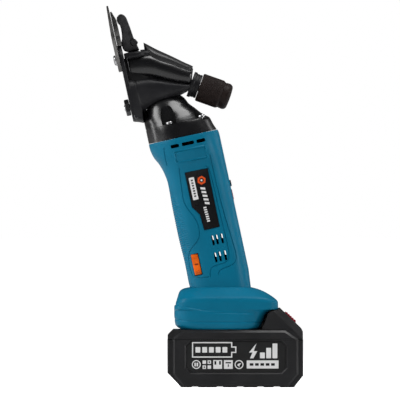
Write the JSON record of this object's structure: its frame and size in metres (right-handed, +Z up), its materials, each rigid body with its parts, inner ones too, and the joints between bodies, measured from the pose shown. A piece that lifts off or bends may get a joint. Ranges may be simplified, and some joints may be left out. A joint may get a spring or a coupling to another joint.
{
  "type": "sheep shears",
  "caption": "Cordless sheep shears: a leaning two-shell grip on a sliding battery pack, with a geared crank, a swinging fork, a cutter and a toothed comb.",
  "frame": {"origin": "middle of the battery pack's flat base", "axes": "+Z up from the base; +X from the comb's side towards the tension knob's side, the way the pack slides off; +Y away from the rocker switch"},
  "size_m": [0.1697, 0.076, 0.3292],
  "materials": {
    "housing_teal": "moulded ABS, fine satin texture",
    "rocker_orange": "satin moulding",
    "black_moulding": "fine spark texture",
    "release_red": "satin moulding",
    "label_film": "smooth printed film",
    "gloss_casting": "die casting in gloss black enamel",
    "satin_casting": "die casting in satin black enamel",
    "knob_brown": "diamond knurl",
    "bright_steel": "ground and polished",
    "dark_steel": "blackened",
    "cell_wrap": "steel can in shrink wrap",
    "circuit_green": "glass-fibre board",
    "contact_brass": "plated"
  },
  "bodies": {
    "tool": {"bearing_plate": "satin_casting", "comb": "bright_steel", "control_board": "circuit_green", "crank_bearing": "bright_steel", "front_bearing": "bright_steel", "gear_housing": "gloss_casting", "gear_housing_screw_1": "bright_steel", "gear_housing_screw_2": "bright_steel", "gear_housing_screw_3": "bright_steel", "gear_housing_screw_4": "bright_steel", "head_casting": "satin_casting", "hood_cover": "gloss_casting", "housing_screw_1": "bright_steel", "housing_screw_2": "bright_steel", "housing_screw_3": "bright_steel", "housing_screw_4": "bright_steel", "housing_screw_5": "bright_steel", "indicator_light": "release_red", "label_plate": "label_film", "left_comb_screw": "bright_steel", "left_housing": "housing_teal", "motor_can": "dark_steel", "motor_end_bell": "black_moulding", "pack_guide": "black_moulding", "pivot_nut": "dark_steel", "pivot_post": "bright_steel", "rear_bearing": "bright_steel", "right_comb_screw": "bright_steel", "right_housing": "housing_teal", "switch_body": "black_moulding", "tension_tube": "gloss_casting", "terminal_block": "black_moulding"},
    "rotor": {"rotor_shaft": "bright_steel", "armature": "dark_steel", "cooling_fan": "black_moulding", "drive_pinion": "bright_steel"},
    "crank": {"driven_wheel": "dark_steel", "crank_shaft": "bright_steel", "crank_roller": "bright_steel"},
    "fork_assembly": {"fork": "satin_casting", "left_claw": "dark_steel", "right_claw": "dark_steel", "cutter": "bright_steel"},
    "tension_pin_body": {"tension_pin": "bright_steel"},
    "tension_knob_body": {"tension_knob": "knob_brown"},
    "rocker": {"power_rocker": "rocker_orange"},
    "speed_button_body": {"speed_button": "black_moulding"},
    "pack": {"pack_lower_case": "black_moulding", "pack_upper_case": "black_moulding", "pack_label_left": "label_film", "pack_label_right": "label_film", "pack_contacts": "contact_brass", "battery_cell_1": "cell_wrap", "battery_cell_2": "cell_wrap", "battery_cell_3": "cell_wrap", "battery_cell_4": "cell_wrap", "battery_cell_5": "cell_wrap"},
    "release_button_body": {"release_button": "release_red"}
  },
  "joints": [
    {"name": "rotor_spin", "type": "hinge", "parent": "tool", "child": "rotor", "pos_m": [-0.04021, 0, 0.21725], "axis": [-0.2113, 0, 0.9774], "continuous": true},
    {"name": "crank_spin", "type": "hinge", "parent": "tool", "child": "crank", "pos_m": [-0.05462, 0, 0.21414], "axis": [-0.2113, 0, 0.9774], "continuous": true},
    {"name": "fork_swing", "type": "hinge", "parent": "tool", "child": "fork_assembly", "pos_m": [-0.09075, 0, 0.24162], "axis": [0.9774, 0, 0.2113], "range_deg": [-7, 7]},
    {"name": "knob_turn", "type": "hinge", "parent": "tool", "child": "tension_knob_body", "pos_m": [-0.08149, 0, 0.27688], "axis": [0.9428, 0, -0.3333], "range_deg": [0, 720]},
    {"name": "tension_travel", "type": "slide", "parent": "tool", "child": "tension_pin_body", "axis": [0.9428, 0, -0.3333], "range_m": [0, 0.0025]},
    {"name": "power_rocker_tilt", "type": "hinge", "parent": "tool", "child": "rocker", "pos_m": [-0.0334, -0.019, 0.10557], "axis": [0.9774, 0, 0.2113], "range_deg": [0, 10]},
    {"name": "speed_button_press", "type": "slide", "parent": "tool", "child": "speed_button_body", "axis": [-0.9774, 0, -0.2113], "range_m": [0, 0.001], "stiffness_N_per_m": 300},
    {"name": "pack_slide", "type": "slide", "parent": "tool", "child": "pack", "axis": [1, 0, 0], "range_m": [0, 0.09]},
    {"name": "release_button_press", "type": "slide", "parent": "pack", "child": "release_button_body", "axis": [-0.6858, 0, -0.7278], "range_m": [0, 0.0025], "stiffness_N_per_m": 400}
  ],
  "couplings": [
    {"joint": "crank_spin", "follows": "rotor_spin", "ratio": -0.2},
    {"joint": "knob_turn", "follows": "tension_travel", "rad_per_m": 5026.5}
  ]
}
